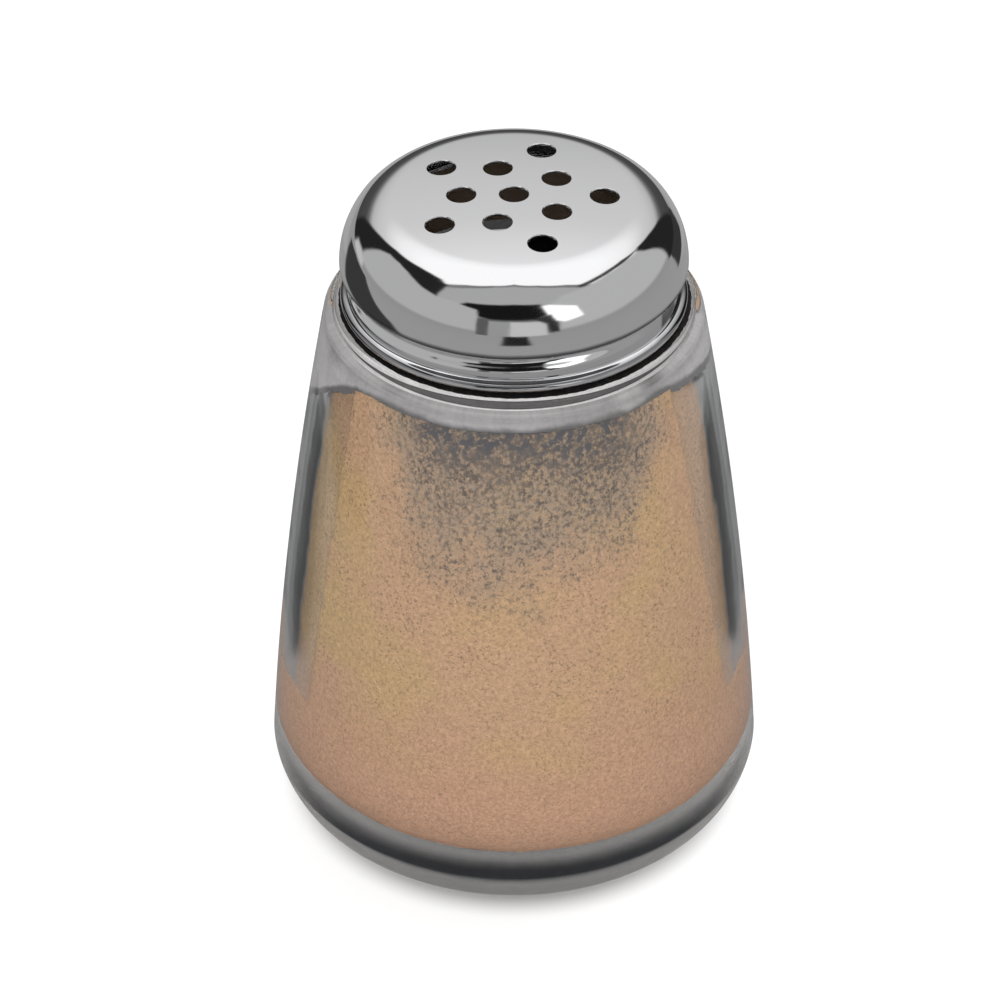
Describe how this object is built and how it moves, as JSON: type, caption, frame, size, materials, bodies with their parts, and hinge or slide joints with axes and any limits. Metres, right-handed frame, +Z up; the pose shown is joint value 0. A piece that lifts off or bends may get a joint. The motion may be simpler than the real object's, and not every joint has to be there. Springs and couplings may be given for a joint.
{
  "type": "spice shaker",
  "caption": "Tapered clear glass table shaker filled with ground spice, with a domed chromed screw lid pierced by round shaking holes.",
  "frame": {"origin": "centre of the jar's standing ring, on the surface that it stands on", "axes": "+Z up the jar's axis, through the middle hole of the lid; +X towards the single outer hole that has no partner"},
  "size_m": [0.0826, 0.0826, 0.1157],
  "materials": {
    "clear_glass": "polished",
    "ground_spice": "matte",
    "seal_plastic": "satin",
    "lid_chrome": "polished"
  },
  "bodies": {
    "jar": {"glass_jar": "clear_glass", "spice_fill": "ground_spice"},
    "ring": {"sealing_ring": "seal_plastic"},
    "lid": {"perforated_lid": "lid_chrome"}
  },
  "joints": [
    {"name": "lid_rise", "type": "slide", "parent": "jar", "child": "ring", "axis": [0, 0, 1], "range_m": [0, 0.0192]},
    {"name": "lid_turn", "type": "hinge", "parent": "ring", "child": "lid", "pos_m": [0, 0, 0.11], "axis": [0, 0, 1], "range_deg": [0, 2160]}
  ],
  "couplings": [
    {"joint": "lid_rise", "follows": "lid_turn", "m_per_rad": 0.0005093}
  ]
}
